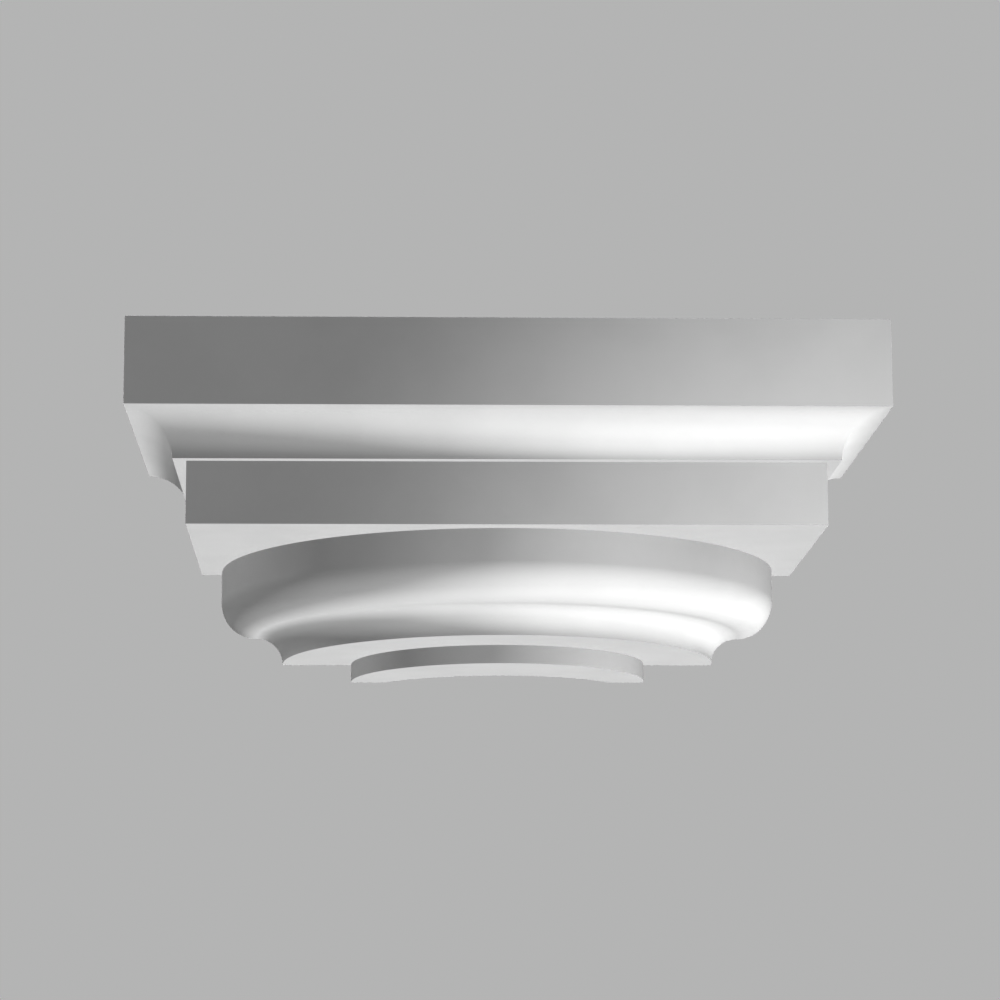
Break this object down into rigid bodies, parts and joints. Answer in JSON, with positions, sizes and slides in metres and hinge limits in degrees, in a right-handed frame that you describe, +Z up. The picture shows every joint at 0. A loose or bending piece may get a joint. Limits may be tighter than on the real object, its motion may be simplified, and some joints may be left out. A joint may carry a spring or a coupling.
{
  "type": "half-round pilaster capital",
  "caption": "Half-round pilaster capital: square abacus over a cove, stepped block and round ovolo echinus, flat at the wall, with a low spigot under its seat.",
  "frame": {"origin": "centre of the flat back face, on the wall plane, on the centre line and halfway up the capital", "axes": "+Z up, +Y into the wall, so the capital stands out towards -Y; +X to the right seen from the front"},
  "size_m": [0.4, 0.2, 0.166],
  "materials": {
    "white_primer": "matt white primer on a smooth casting"
  },
  "bodies": {
    "root": {"capital": "white_primer"}
  },
  "joints": []
}
